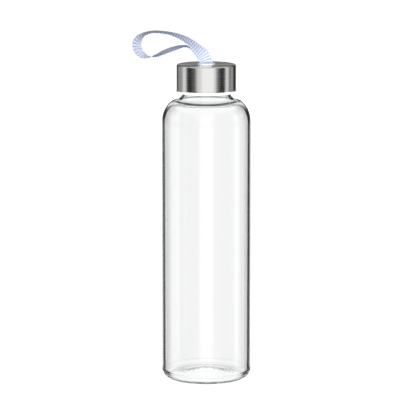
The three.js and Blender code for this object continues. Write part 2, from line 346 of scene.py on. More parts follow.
def make_ribbon():
    count = int(ribbon_length / RIB_PITCH) * STEPS_PER_RIB + 1
    rows, _ = along(ribbon_curve, count)
    centre, heading = rows[:, :3], np.radians(rows[:, 3])
    forward = np.gradient(centre, axis=0)
    forward /= np.linalg.norm(forward, axis=1)[:, None]
    across = np.stack([np.cos(heading), np.sin(heading), rows[:, 4]], -1)
    across -= (across * forward).sum(1)[:, None] * forward
    across /= np.linalg.norm(across, axis=1)[:, None]
    face = np.cross(forward, across)
    section = ribbon_section()
    rib = np.abs(np.sin(math.pi * np.arange(count) / STEPS_PER_RIB)) ** RIB_ROUNDNESS - RIB_MIDDLE
    up = np.sign(section[:, 1]) * (np.abs(section[:, 1]) + RIB_HEIGHT * section[:, 2] * rib[:, None])
    rings = (centre[:, None] + across[:, None] * section[:, 0][None, :, None]
             + face[:, None] * up[:, :, None])
    around = len(section)
    faces = [list(range(around))[::-1], [(count - 1) * around + k for k in range(around)]]
    for i in range(count - 1):
        for k in range(around):
            a, b = i * around + k, i * around + (k + 1) % around
            faces.append([a, b, b + around, a + around])
    piece = new_piece("strap_ribbon_woven", rings.reshape(-1, 3) * MM, faces, sharp_above=75)
    # the ribbon's own coordinates, in millimetres: across its width and along its length
    uv = piece.data.uv_layers.new(name="weave")
    travelled = np.linspace(0, ribbon_length, count)
    for corner, loop in zip(uv.data, piece.data.loops):
        ring, k = divmod(loop.vertex_index, around)
        corner.uv = (section[k, 0], travelled[ring])
    return piece, centre


ribbon, ribbon_centre = make_ribbon()
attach(ribbon, "strap")
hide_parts("strap_ribbon")
report(ribbon)

# %% [markdown]
# ## Glass body
#
# The body is formed from a borosilicate tube, so its wall keeps much the same thickness
# everywhere: round the heel, across the base with its shallow hollow, over the elliptical
# shoulder and up the flare of the neck. The thread is pressed into the neck. Everything is
# one skin: the profile runs from the middle of the base, up the outside, over the lip, down
# the inside and back to the middle, and the thread is raised by moving that skin outwards
# along a helix. A low ring inside the heel and shallow rings on the floor stand for where
# the soft glass settled, and they bend light into the arcs that show in the base.

# %% Screw thread
PITCH = 4
THREAD_TURNS = 1.5
THREAD_BASE = 1.8
THREAD_CREST = 0.9
THREAD_FADE = 1 / 6


def smooth_step(x):
    x = np.clip(x, 0, 1)
    return x * x * (3 - 2 * x)


def thread_ridge(start_z, height):
    """A reshape for turned(): raises the radius by height along a right-hand helix."""
    def reshape(r, z, angles):
        lift = np.zeros_like(angles)
        for lap in range(math.ceil(THREAD_TURNS) + 1):
            turns = angles / (2 * math.pi) + lap
            away = np.abs(z - start_z - PITCH * turns)
            flank = smooth_step((THREAD_BASE / 2 - away) / ((THREAD_BASE - THREAD_CREST) / 2))
            fade = smooth_step(np.minimum(turns, THREAD_TURNS - turns) / THREAD_FADE)
            lift = np.maximum(lift, flank * fade)
        return r + height * lift
    return reshape


def only_between(low, high, radius, reshape):
    """Uses a reshape on one wall only: at this radius, between two heights."""
    def chosen(r, z, angles):
        on_wall = abs(r - radius) < 1e-6 and low < z < high
        return reshape(r, z, angles) if on_wall else np.full_like(angles, r)
    return chosen


print(f"thread of {THREAD_TURNS} turns at {PITCH} mm")

# %% Blow the glass body
WALL = 2.4
HEEL_R = 6.5
PUSH_UP = 3.5
CONTACT_INNER_R = 22.5
BASE_WALL = 2.9
CORNER_R = 4.5
SHOULDER_Z = 187.3
SHOULDER_RISE, SHOULDER_RUN = 18, 12.5
SHOULDER_END = 75
SHOULDER_WALL = 3.0
NECK_R, NECK_Z = 17.9, 209.3
FLARE_RUN, FLARE_RISE = 4.4, 4.5
FINISH_R, MOUTH_R, LIP_ROUND = 17.5, 15.5, 0.8
GLASS_THREAD_Z, GLASS_THREAD_HEIGHT = 215.5, 1.1
RING_HEIGHT, RING_Z, RING_REACH = 0.3, 5.6, 0.8
RIPPLE_HEIGHT, RIPPLE_PITCH, RIPPLE_FADE = 0.03, 3.4, 12
THREAD_ZONE = (GLASS_THREAD_Z - 2, GLASS_THREAD_Z + PITCH * THREAD_TURNS + 2)


def hollow(base, steps=24):
    """The soft hollow in the middle of the base, from the axis out to the contact ring."""
    radii = [CONTACT_INNER_R * i / steps for i in range(steps + 1)]
    return [(r, base + PUSH_UP * (1 + math.cos(math.pi * r / CONTACT_INNER_R)) / 2) for r in radii]


def settled(points):
    """A low ring inside the heel, where soft glass settles as the base is closed."""
    return [(r - RING_HEIGHT * math.exp(-((z - RING_Z) / RING_REACH) ** 2), z) for r, z in points]


def rippled(points):
    """Shallow rings on the inner floor, left by the turning of the soft base."""
    return [(r, z + RIPPLE_HEIGHT * math.sin(2 * math.pi * r / RIPPLE_PITCH) * min(1, r / RIPPLE_FADE))
            for r, z in points]


def glass_profile():
    heel, inner = BODY_R - HEEL_R, BODY_R - WALL
    corner, flare = inner - CORNER_R, NECK_R + FLARE_RUN
    shoulder, inner_rise = BODY_R - SHOULDER_RUN, SHOULDER_RISE - SHOULDER_WALL
    return [
        *hollow(0),
        *arc(heel, HEEL_R, HEEL_R, HEEL_R, -90, 0, 20),
        *line((BODY_R, HEEL_R), (BODY_R, SHOULDER_Z), 12),
        *arc(shoulder, SHOULDER_Z, SHOULDER_RUN, SHOULDER_RISE, 3, SHOULDER_END, 30),
        *arc(flare, NECK_Z, FLARE_RUN, FLARE_RISE, 262, 180, 18),
        *line((NECK_R, NECK_Z), (FINISH_R, NECK_Z + 0.6), 3),
        *line((FINISH_R, NECK_Z + 0.6), (FINISH_R, THREAD_ZONE[0]), 3),
        *line((FINISH_R, THREAD_ZONE[0]), (FINISH_R, THREAD_ZONE[1]), 70),
        *arc(FINISH_R - LIP_ROUND, LIP_Z - LIP_ROUND, LIP_ROUND, LIP_ROUND, 0, 90, 8),
        *arc(MOUTH_R + LIP_ROUND, LIP_Z - LIP_ROUND, LIP_ROUND, LIP_ROUND, 90, 180, 8),
        *arc(flare, NECK_Z, flare - MOUTH_R, FLARE_RISE + SHOULDER_WALL, 180, 262, 18),
        *arc(shoulder, SHOULDER_Z, inner - shoulder, inner_rise, SHOULDER_END, 0, 30),
        *line((inner, SHOULDER_Z), (inner, BASE_WALL + CORNER_R), 12),
        *settled(arc(corner, BASE_WALL + CORNER_R, CORNER_R, CORNER_R, -2, -90, 40)),
        *rippled(hollow(BASE_WALL, steps=72)[::-1]),
    ]


def make_glass():
    ridge = thread_ridge(GLASS_THREAD_Z, GLASS_THREAD_HEIGHT)
    reshape = only_between(*THREAD_ZONE, FINISH_R, ridge)
    piece = turned("glass_bottle_blown", glass_profile(), reshape=reshape)
    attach(piece, "bottle")
    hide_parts("glass_bottle")
    return piece


glass = make_glass()
report(glass)

# %% [markdown]
# ## Cap core
#
# The core is injection moulded in white polypropylene. It carries the thread, holds the
# seal against the lip, shows as a thin white rim under the steel, and has a closed pot in
# the middle for the strap's swivel, so that the cap stays watertight. It is turned like
# the glass, with the thread standing inwards.

# %% Mould the cap core
STEEL = 0.5
GAP = 0.3
CORE_BORE_R, CORE_THREAD_Z, CORE_THREAD_HEIGHT = 19, 213.7, 1.15
CEILING_Z = 227.4
POT_R, POT_WALL, POT_BOTTOM_Z = 9, 1.2, 219.5
CORE_THREAD_ZONE = (CORE_THREAD_Z - 2, CORE_THREAD_Z + PITCH * THREAD_TURNS + 2)


def core_profile():
    core_r = SHELL_R - STEEL - GAP
    flange_top = SHELL_BOTTOM_Z - GAP
    pot = POT_R - POT_WALL
    ease, edge = 0.35, 0.8
    return [
        (0, POT_BOTTOM_Z),
        *line((0, POT_BOTTOM_Z), (POT_R - edge, POT_BOTTOM_Z), 4),
        *arc(POT_R - edge, POT_BOTTOM_Z + edge, edge, edge, -75, 0, 5),
        *line((POT_R, POT_BOTTOM_Z + edge), (POT_R, CEILING_Z - edge), 3),
        *arc(POT_R + edge, CEILING_Z - edge, edge, edge, 165, 90, 5),
        *line((POT_R + edge, CEILING_Z), (CORE_BORE_R - edge, CEILING_Z), 4),
        *arc(CORE_BORE_R - edge, CEILING_Z - edge, edge, edge, 75, 0, 5),
        *line((CORE_BORE_R, CEILING_Z - edge), (CORE_BORE_R, CORE_THREAD_ZONE[1]), 2),
        *line((CORE_BORE_R, CORE_THREAD_ZONE[1]), (CORE_BORE_R, CORE_THREAD_ZONE[0]), 70),
        *arc(CORE_BORE_R + ease, FLANGE_BOTTOM_Z + ease, ease, ease, 180, 270, 5),
        *arc(FLANGE_R - ease, FLANGE_BOTTOM_Z + ease, ease, ease, -90, 0, 6),
        *arc(FLANGE_R - ease, flange_top - ease, ease, ease, 0, 90, 6),
        (core_r, flange_top),
        *line((core_r, flange_top), (core_r, CORE_TOP_Z - edge), 6),
        *arc(core_r - edge, CORE_TOP_Z - edge, edge, edge, 15, 90, 5),
        *line((core_r - edge, CORE_TOP_Z), (pot + ease, CORE_TOP_Z), 4),
        *arc(pot + ease, CORE_TOP_Z - ease, ease, ease, 105, 180, 4),
        *line((pot, CORE_TOP_Z - ease), (pot, POT_BOTTOM_Z + POT_WALL + ease), 4),
        *arc(pot - ease, POT_BOTTOM_Z + POT_WALL + ease, ease, ease, -15, -90, 4),
        *line((pot - ease, POT_BOTTOM_Z + POT_WALL), (0, POT_BOTTOM_Z + POT_WALL), 4),
    ]


def make_core():
    ridge = thread_ridge(CORE_THREAD_Z, -CORE_THREAD_HEIGHT)
    reshape = only_between(*CORE_THREAD_ZONE, CORE_BORE_R, ridge)
    piece = turned("cap_core_moulded", core_profile(), reshape=reshape)
    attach(piece, "cap")
    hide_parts("cap_core")
    return piece


core = make_core()
report(core)

# %% [markdown]
# ## Steel cap shell
#
# The shell is a cup drawn from half a millimetre of stainless sheet and glued over the
# core. Drawing leaves a small even radius at the top edge. The lower edge is trimmed and
# just broken, and the hole for the eyelet is punched through the middle of the top.

# %% Draw the steel shell
SHELL_EDGE_R = 0.9
STEM_R = 5.7
HOLE_R = STEM_R + GAP


def shell_profile():
    edge_r, edge_z = SHELL_R - SHELL_EDGE_R, CAP_TOP_Z - SHELL_EDGE_R
    inner_edge = SHELL_EDGE_R - STEEL
    trim = 0.15
    return [
        (SHELL_R - STEEL, SHELL_BOTTOM_Z),
        *arc(SHELL_R - trim, SHELL_BOTTOM_Z + trim, trim, trim, -90, 0, 4),
        *line((SHELL_R, SHELL_BOTTOM_Z + trim), (SHELL_R, edge_z), 8),
        *arc(edge_r, edge_z, SHELL_EDGE_R, SHELL_EDGE_R, 8, 90, 12),
        *line((edge_r, CAP_TOP_Z), (HOLE_R + trim, CAP_TOP_Z), 8),
        *arc(HOLE_R + trim, CAP_TOP_Z - trim, trim, trim, 105, 180, 4),
        *line((HOLE_R, CAP_TOP_Z - trim), (HOLE_R, CAP_TOP_Z - STEEL), 1),
        *line((HOLE_R, CAP_TOP_Z - STEEL), (edge_r, CAP_TOP_Z - STEEL), 6),
        *arc(edge_r, edge_z, inner_edge, inner_edge, 80, 0, 8),
        *line((SHELL_R - STEEL, edge_z), (SHELL_R - STEEL, SHELL_BOTTOM_Z + 1), 6),
    ]


shell = turned("cap_shell_brushed", shell_profile())
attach(shell, "cap")
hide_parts("cap_shell")
report(shell)

# %% [markdown]
# ## Silicone seal
#
# A flat silicone ring lies between the glass lip and the core's ceiling. Years of closing
# would press a groove into it, so its lower face is a touch hollow where the lip meets it.

# %% Cut the seal ring
SEAL_INNER_R = 14.6
SEAL_GROOVE = 0.12


def seal_profile():
    ease = 0.3
    low, high = SEAL_LOW_Z, SEAL_HIGH_Z
    inner, outer = SEAL_INNER_R + ease, SEAL_OUTER_R - ease
    groove = [
        (r, low + SEAL_GROOVE * math.sin(math.pi * (r - inner) / (outer - inner)) ** 2)
        for r in np.linspace(inner, outer, 17)[1:-1]
    ]
    return [
        *arc(inner, low + ease, ease, ease, 180, 270, 4),
        *groove,
        *arc(outer, low + ease, ease, ease, -90, 0, 4),
        *arc(outer, high - ease, ease, ease, 0, 90, 4),
        *arc(inner, high - ease, ease, ease, 90, 180, 4),
    ]


seal = turned("seal_ring_pressed", seal_profile(), sides=144)
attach(seal, "seal")
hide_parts("seal_ring")
report(seal)

# %% [markdown]
# ## Swivel: eyelet, collar and pin
#
# A white eyelet drops through the hole in the steel and a collar under it keeps it there,
# free to turn. A steel pin goes through both, and the ribbon's loop hangs on the pin. The
# eyelet's slot has to be a little longer than the ribbon is wide. The slot, the space
# between the two lugs and the pin's holes are cut with booleans, as they would be milled.

# %% Make the swivel
SLOT_LENGTH, SLOT_WIDTH, SLOT_BOTTOM_Z = 9.7, 2.2, 228.2
PIN_HOLE_R = 1.1
FLANGE_LOW_Z = CAP_TOP_Z + GAP


def prism(outline, low, high):
    """A closed upright prism over an outline of (x, y) points in millimetres."""
    n = len(outline)
    vertices = [(x * MM, y * MM, z * MM) for z in (low, high) for x, y in outline]
    faces = [list(range(n))[::-1], list(range(n, 2 * n))]
    faces += [[k, (k + 1) % n, n + (k + 1) % n, n + k] for k in range(n)]
    return new_piece("cutter", vertices, faces)


def rounded_slot(length, width, corner, steps=6):
    """The outline of a rectangle with round corners, anticlockwise."""
    points = []
    for turn, (sx, sy) in enumerate([(1, 1), (-1, 1), (-1, -1), (1, -1)]):
        cx, cy = sx * (length / 2 - corner), sy * (width / 2 - corner)
        for a in np.radians(np.linspace(90 * turn, 90 * turn + 90, steps + 1)):
            points.append((cx + corner * math.cos(a), cy + corner * math.sin(a)))
    return points


def rod_along_x(name, radius, half_length, z, ease=0.0, sides=32):
    """A rod along X with eased ends."""
    profile = [(0, -half_length)]
    if ease:
        profile += arc(radius - ease, -half_length + ease, ease, ease, -90, 0, 4)
        profile += arc(radius - ease, half_length - ease, ease, ease, 0, 90, 4)
    else:
        profile += [(radius, -half_length), (radius, half_length)]
    piece = turned(name, profile + [(0, half_length)], sides=sides)
    for v in piece.data.vertices:
        x, y, up = v.co
        v.co = (up, y, -x + z * MM)
    return piece


def make_eyelet():
    edge = 0.3
    foot = 0.2
    profile = [
        (0, STEM_BOTTOM_Z),
        (STEM_R - foot, STEM_BOTTOM_Z), (STEM_R, STEM_BOTTOM_Z + foot), (STEM_R, FLANGE_LOW_Z),
        *arc(EYELET_R - 0.15, FLANGE_LOW_Z + 0.15, 0.15, 0.15, -90, 0, 3),
        *arc(EYELET_R - edge, EYELET_TOP_Z - edge, edge, edge, 10, 90, 8),
        (0, EYELET_TOP_Z),
    ]
    piece = turned("strap_eyelet_moulded", profile, sides=96)
    cut(piece, prism(rounded_slot(SLOT_LENGTH, SLOT_WIDTH, 0.5), SLOT_BOTTOM_Z - 1, EYELET_TOP_Z + 1))
    gap_outline = rounded_slot(SLOT_LENGTH, 4 * STEM_R, 0.2, steps=2)
    cut(piece, prism(gap_outline, STEM_BOTTOM_Z - 1, SLOT_BOTTOM_Z))
    cut(piece, rod_along_x("cutter", PIN_HOLE_R, 2 * STEM_R, PIN_Z))
    return piece


def make_clip():
    bore, ease = STEM_R + GAP, 0.2
    profile = [
        *arc(bore + ease, CLIP_LOW_Z + ease, ease, ease, 180, 270, 3),
        *arc(CLIP_R - ease, CLIP_LOW_Z + ease, ease, ease, -90, 0, 3),
        *arc(CLIP_R - ease, CLIP_HIGH_Z - ease, ease, ease, 0, 90, 3),
        *arc(bore + ease, CLIP_HIGH_Z - ease, ease, ease, 90, 180, 3),
    ]
    piece = turned("eyelet_clip_moulded", profile, sides=96)
    cut(piece, rod_along_x("cutter", PIN_HOLE_R, 2 * CLIP_R, PIN_Z))
    return piece


eyelet = make_eyelet()
clip = make_clip()
pin = rod_along_x("strap_pin_drawn", PIN_R, PIN_HALF, PIN_Z, ease=0.2)
for piece, node, slot in (
    (eyelet, "strap_eyelet", "white_plastic"),
    (clip, "eyelet_clip", "white_plastic"),
    (pin, "strap_pin", "plain_steel"),
):
    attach(piece, "strap")
    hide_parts(node)
    report(piece)

# %% [markdown]
# ## Finish: clear borosilicate glass
#
# Borosilicate glass bends light a little less than window glass: its index is 1.47. It is
# nearly free of iron, so a wall looks colourless and only the long way through an edge or
# the base shows a breath of green. That belongs in the volume, where it grows with the
# distance that light travels. Blowing leaves slow waves a few centimetres long and only
# microns high, which bend reflections without making them dull.

# %% Make the clear glass
GLASS_IOR = 1.473
WAVE_MM = 28
WAVE_HEIGHT_MM = 0.03
WAVE_STRETCH = 0.35
TINT_DENSITY = 14.0


def clear_glass():
    material, tree, shader = new_material(
        "borosilicate_glass_blown_clear", Base_Color=linear("#FFFFFF"), Roughness=0.0, IOR=GLASS_IOR,
        Transmission_Weight=1.0,
    )
    place = add(tree, "ShaderNodeTexCoord")
    stretch = add(tree, "ShaderNodeMapping", {
        "Vector": place.outputs["Object"], "Scale": (1, 1, WAVE_STRETCH),
    })
    waves = add(tree, "ShaderNodeTexNoise", {
        "Vector": stretch.outputs["Vector"], "Scale": per_mm(WAVE_MM), "Detail": 1.0, "Roughness": 0.4,
    })
    bump = add(tree, "ShaderNodeBump", {
        "Height": waves.outputs["Fac"], "Strength": 1.0, "Distance": WAVE_HEIGHT_MM * MM,
    })
    tree.links.new(bump.outputs["Normal"], shader.inputs["Normal"])
    tint = add(tree, "ShaderNodeVolumeAbsorption", {"Color": linear("#DDEFE4"), "Density": TINT_DENSITY})
    tree.links.new(tint.outputs["Volume"], tree.nodes["Material Output"].inputs["Volume"])
    return material


glass.data.materials.append(clear_glass())
print("glass of index", GLASS_IOR)

# %% [markdown]
# ## Finish: brushed stainless steel
#
# The shell turns on a lathe against an abrasive belt, so its scratches run round it, on
# the side as level lines and on the top as circles. Light spreads across a scratch and
# hardly along it: the side smears reflections up and down and keeps them narrow from left
# to right, which makes the tall bright and dark bands of turned steel. The anisotropy does
# the spreading, and a noise that is stretched along the scratches draws the lines.

# %% Make the brushed steel
SCRATCH_MM = 0.12
SCRATCH_LENGTH_MM = 30
SCRATCH_HEIGHT_MM = 0.004


def brushed_steel():
    material, tree, shader = new_material(
        "stainless_steel_brushed_round", Base_Color=linear("#CFCECC"), Metallic=1.0, Roughness=0.26,
        Anisotropic=0.9, Anisotropic_Rotation=0.25,
    )
    tangent = add(tree, "ShaderNodeTangent", direction_type="RADIAL", axis="Z")
    tree.links.new(tangent.outputs["Tangent"], shader.inputs["Tangent"])
    place = add(tree, "ShaderNodeTexCoord")
    split = add(tree, "ShaderNodeSeparateXYZ", {"Vector": place.outputs["Object"]})
    x, y, z = (split.outputs[k] for k in "XYZ")
    # height on the side plus radius on the top: the one direction that crosses every scratch
    level = add(tree, "ShaderNodeCombineXYZ", {"X": x, "Y": y})
    radius = add(tree, "ShaderNodeVectorMath", {0: level.outputs["Vector"]}, operation="LENGTH")
    crossing = add(tree, "ShaderNodeMath", {0: z, 1: radius.outputs["Value"]}, operation="ADD")
    stretch = SCRATCH_LENGTH_MM / SCRATCH_MM
    across = add(tree, "ShaderNodeMath", {0: crossing.outputs[0], 1: stretch}, operation="MULTIPLY")
    lane = add(tree, "ShaderNodeCombineXYZ", {"X": x, "Y": y, "Z": across.outputs[0]})
    scratches = add(tree, "ShaderNodeTexNoise", {
        "Vector": lane.outputs["Vector"], "Scale": per_mm(SCRATCH_LENGTH_MM), "Detail": 3.0, "Roughness": 0.7,
    })
    rough = add(tree, "ShaderNodeMapRange", {
        "Value": scratches.outputs["Fac"], "From Min": 0.3, "From Max": 0.7, "To Min": 0.21, "To Max": 0.31,
    })
    tree.links.new(rough.outputs["Result"], shader.inputs["Roughness"])
    tone = ramp(tree, scratches.outputs["Fac"], [(0.3, linear("#C8C7C5")), (0.7, linear("#DAD9D8"))])
    tree.links.new(tone, shader.inputs["Base Color"])
    bump = add(tree, "ShaderNodeBump", {
        "Height": scratches.outputs["Fac"], "Strength": 1.0, "Distance": SCRATCH_HEIGHT_MM * MM,
    })
    tree.links.new(bump.outputs["Normal"], shader.inputs["Normal"])
    return material


shell.data.materials.append(brushed_steel())
print("scratches", SCRATCH_MM, "mm apart")

# %% [markdown]
# ## Finish: moulded white polypropylene
#
# Polypropylene is a waxy, slightly translucent plastic. Moulded in a satin tool it has a
# soft sheen and a grain too fine to see singly. A little light goes into it and comes out
# again, which a small subsurface weight gives.

# %% Make the white plastic
GRAIN_MM = 0.25


def white_plastic(name, code, roughness):
    """A pale moulded plastic or rubber, which differ here only in colour and gloss."""
    material, tree, shader = new_material(
        name, Base_Color=linear(code), Roughness=roughness, IOR=1.49,
        Subsurface_Weight=0.15, Subsurface_Radius=(1.2, 1.1, 1.0), Subsurface_Scale=0.0008,
    )
    place = add(tree, "ShaderNodeTexCoord")
    grain = add(tree, "ShaderNodeTexNoise", {
        "Vector": place.outputs["Object"], "Scale": per_mm(GRAIN_MM), "Detail": 2.0,
    })
    gloss = add(tree, "ShaderNodeMapRange", {
        "Value": grain.outputs["Fac"], "To Min": roughness - 0.06, "To Max": roughness + 0.06,
    })
    tree.links.new(gloss.outputs["Result"], shader.inputs["Roughness"])
    bump = add(tree, "ShaderNodeBump", {
        "Height": grain.outputs["Fac"], "Strength": 0.5, "Distance": 0.01 * MM,
    })
    tree.links.new(bump.outputs["Normal"], shader.inputs["Normal"])
    return material


core.data.materials.append(white_plastic("polypropylene_moulded_white", "#E9EAED", 0.38))
for piece in (eyelet, clip):
    piece.data.materials.append(white_plastic(f"acetal_moulded_white_{piece.name}", "#E9EAEE", 0.32))
seal.data.materials.append(white_plastic("silicone_moulded_matt", "#E4E6E6", 0.55))
print("plastic grain", GRAIN_MM, "mm")

# %% [markdown]
# ## Finish: drawn steel pin
#
# The pin is cut from drawn wire, so its fine lines run along it.

# %% Make the drawn steel
DRAWN_LINE_MM = 0.1


def drawn_steel():
    material, tree, shader = new_material(
        "stainless_wire_drawn", Base_Color=linear("#BDBDBE"), Metallic=1.0, Roughness=0.28,
    )
    place = add(tree, "ShaderNodeTexCoord")
    stretch = add(tree, "ShaderNodeMapping", {"Vector": place.outputs["Object"], "Scale": (0.03, 1, 1)})
    lines = add(tree, "ShaderNodeTexNoise", {
        "Vector": stretch.outputs["Vector"], "Scale": per_mm(DRAWN_LINE_MM), "Detail": 2.0,
    })
    rough = add(tree, "ShaderNodeMapRange", {"Value": lines.outputs["Fac"], "To Min": 0.2, "To Max": 0.4})
    tree.links.new(rough.outputs["Result"], shader.inputs["Roughness"])
    return material


pin.data.materials.append(drawn_steel())
print("pin", 2 * PIN_HALF, "mm long")

# %% [markdown]
# ## Finish: woven ribbon
#
# The ribbon is polyester, dyed a pale blue lilac. The ribs are in the mesh. What is left
# for the material is the fine warp that crosses them, about four threads to a millimetre,
# a slightly paler firm edge, a shadow in the valley between two ribs, and the soft sheen
# of the yarn. The pattern runs on the ribbon's own coordinates in millimetres, so it bends
# with the ribbon.

# %% Make the woven ribbon
WARP_MM = 0.25
EDGE_MM = 0.6
FUZZ_PER_MM = 3.0


def woven_ribbon():
    material, tree, shader = new_material(
        "polyester_grosgrain_woven", Base_Color=linear("#9DA4B5"), Roughness=0.75, IOR=1.5,
        Specular_IOR_Level=0.25, Sheen_Weight=0.05, Sheen_Roughness=0.4, Sheen_Tint=linear("#E8ECFA"),
    )
    place = add(tree, "ShaderNodeUVMap", uv_map="weave")
    split = add(tree, "ShaderNodeSeparateXYZ", {"Vector": place.outputs["UV"]})
    u, v = split.outputs["X"], split.outputs["Y"]
    rib_turn = add(tree, "ShaderNodeMath", {0: v, 1: math.pi / RIB_PITCH}, operation="MULTIPLY")
    rib_wave = add(tree, "ShaderNodeMath", {0: rib_turn.outputs[0]}, operation="SINE")
    rib = add(tree, "ShaderNodeMath", {0: rib_wave.outputs[0]}, operation="ABSOLUTE")
    warp_turn = add(tree, "ShaderNodeMath", {0: u, 1: 2 * math.pi / WARP_MM}, operation="MULTIPLY")
    warp = add(tree, "ShaderNodeMath", {0: warp_turn.outputs[0]}, operation="SINE")
    fuzz = add(tree, "ShaderNodeTexNoise", {
        "Vector": place.outputs["UV"], "Scale": FUZZ_PER_MM, "Detail": 3.0,
    })
    valley = ramp(tree, rib.outputs[0], [(0.0, linear("#6A7187")), (0.6, linear("#A3AABB"))])
    mottled = add(tree, "ShaderNodeMix", {"Factor": 0.12, 6: valley, 7: fuzz.outputs["Color"]},
                  data_type="RGBA", blend_type="SOFT_LIGHT")
    from_middle = add(tree, "ShaderNodeMath", {0: u}, operation="ABSOLUTE")
    at_edge = add(tree, "ShaderNodeMapRange", {
        "Value": from_middle.outputs[0], "From Min": RIBBON_WIDTH / 2 - EDGE_MM,
        "From Max": RIBBON_WIDTH / 2 - EDGE_MM / 2,
    })
    colour = add(tree, "ShaderNodeMix", {0: at_edge.outputs["Result"], 6: mottled.outputs[2],
                                         7: linear("#A7ADBC")}, data_type="RGBA")
    tree.links.new(colour.outputs[2], shader.inputs["Base Color"])
    height = add(tree, "ShaderNodeMath", {0: warp.outputs[0], 1: fuzz.outputs["Fac"]}, operation="ADD")
    bump = add(tree, "ShaderNodeBump", {"Height": height.outputs[0], "Strength": 0.3, "Distance": 0.008 * MM})
    tree.links.new(bump.outputs["Normal"], shader.inputs["Normal"])
    return material


ribbon.data.materials.append(woven_ribbon())
print("ribs", RIB_PITCH, "mm apart, warp", WARP_MM, "mm apart")

# %% [markdown]
# ## Studio light
#
# Clear glass is lit from behind: a bright window there makes it glow, and what is dark on
# both sides of the window draws its edges as thin dark lines. Brushed steel shows the rest
# of the room: a broad soft light in front, a dark card on each side, a narrow light beyond
# it, and another dark card. All of it is painted on the sky by compass direction.
#
# One plain sky doesn't suit glass, steel and cloth at once, so the Light Path node picks
# what each of them sees. Steel sees the room's cards, dimmed behind above the window. Glass
# sees the window's cards, the same in front as behind, cut across by dim level bands. Light
# that went straight through both walls sees mostly a plain backdrop, which keeps the glass
# from turning grey where a dark card stands behind it, and makes the arcs in the base
# fainter. Matt pieces get an even, low light. No real studio can do this in one exposure.

# %% Studio light
# compass directions in degrees from the front, positive to the right: where each card
# starts and ends, and its brightness. Between two cards the brightness changes evenly.
ROOM_CARDS = [
    (-180, -167, 1.12), (-157, -143, 0.04), (-136, -110, 0.4), (-101, -88, 1.02), (-80, -62, 0.01),
    (-52, -46, 0.12), (-33, -24, 1.0), (-14, 27, 1.38), (34, 36, 1.0), (44, 47, 0.24), (58, 76, 0.01),
    (82, 94, 0.98), (103, 107, 0.2), (112, 123, 0.48), (132, 157, 0.03), (168, 180, 1.12),
]
WINDOW_CARDS = [
    (-180, -173, 1.08), (-168, -165, 0.55), (-157, -152, 0.3), (-140, -138, 0.6), (-125, 125, 1.02),
    (138, 140, 0.6), (152, 157, 0.3), (165, 168, 0.55), (173, 180, 1.08),
]
# the same for light through glass, by the sine of its height
GLASS_LEVELS = [
    (-1, -0.56, 1), (-0.5, -0.38, 0.4), (-0.33, -0.08, 1), (-0.03, 0.06, 0.74), (0.12, 1, 1),
]
# and for light that was mirrored inside the glass
INNER_LEVELS = [
    (-1, -0.56, 1), (-0.5, -0.38, 0.5), (-0.33, -0.11, 1), (-0.06, 0.13, 0.12), (0.18, 1, 1),
]
# where one part of the sky fades into the next, by the sine of its height
WINDOW_TOP = (0.03, 0.14)
CEILING_FADE = (0.5, 0.75)
TABLE_FADE_STEEL = (-0.6, -0.85)
TABLE_FADE_GLASS = (-0.5, -0.6)
# a card further round than this is behind the bottle, and is this dim above the window
BEHIND_FROM = 155
DIM_BEHIND = 0.09
SOFT_CEILING = 1.0
LIT_TABLE = 1.0
BACKDROP = 1.0
EVEN_LIGHT = 0.37
# straight through both walls is four surfaces, and this share of that light is the backdrop
WALL_SURFACES = 4
CLEAR_SHARE = 0.85
# a ramp's colours stop at one, so the sky holds every level divided by its strength
SKY_STRENGTH = 2.0


def share_of_turn(degrees):
    """A compass direction as a share of the full turn that starts behind on the left."""
    return (degrees + 180) / 360


def banded(tree, share, cards):
    """Brightness by compass share, as the sky holds it."""
    edges = [(edge, light) for start, end, light in cards for edge in (start, end)]
    return ramp(tree, share, [(share_of_turn(edge), light / SKY_STRENGTH) for edge, light in edges])


def grey(level):
    """A grey of a linear level."""
    return (level, level, level, 1)


def sky_grey(level):
    """A grey of a level as the sky holds it."""
    return grey(level / SKY_STRENGTH)


def blend(tree, factor, first, second):
    """Mixes two colours by a factor."""
    mix = add(tree, "ShaderNodeMix", {0: factor, 6: first, 7: second}, data_type="RGBA")
    return mix.outputs[2]


def rise(tree, value, low, high):
    """A soft step from 0 to 1 as a value goes from low to high."""
    step = add(tree, "ShaderNodeMapRange", {"Value": value, "From Min": low, "From Max": high},
               interpolation_type="SMOOTHSTEP")
    return step.outputs["Result"]


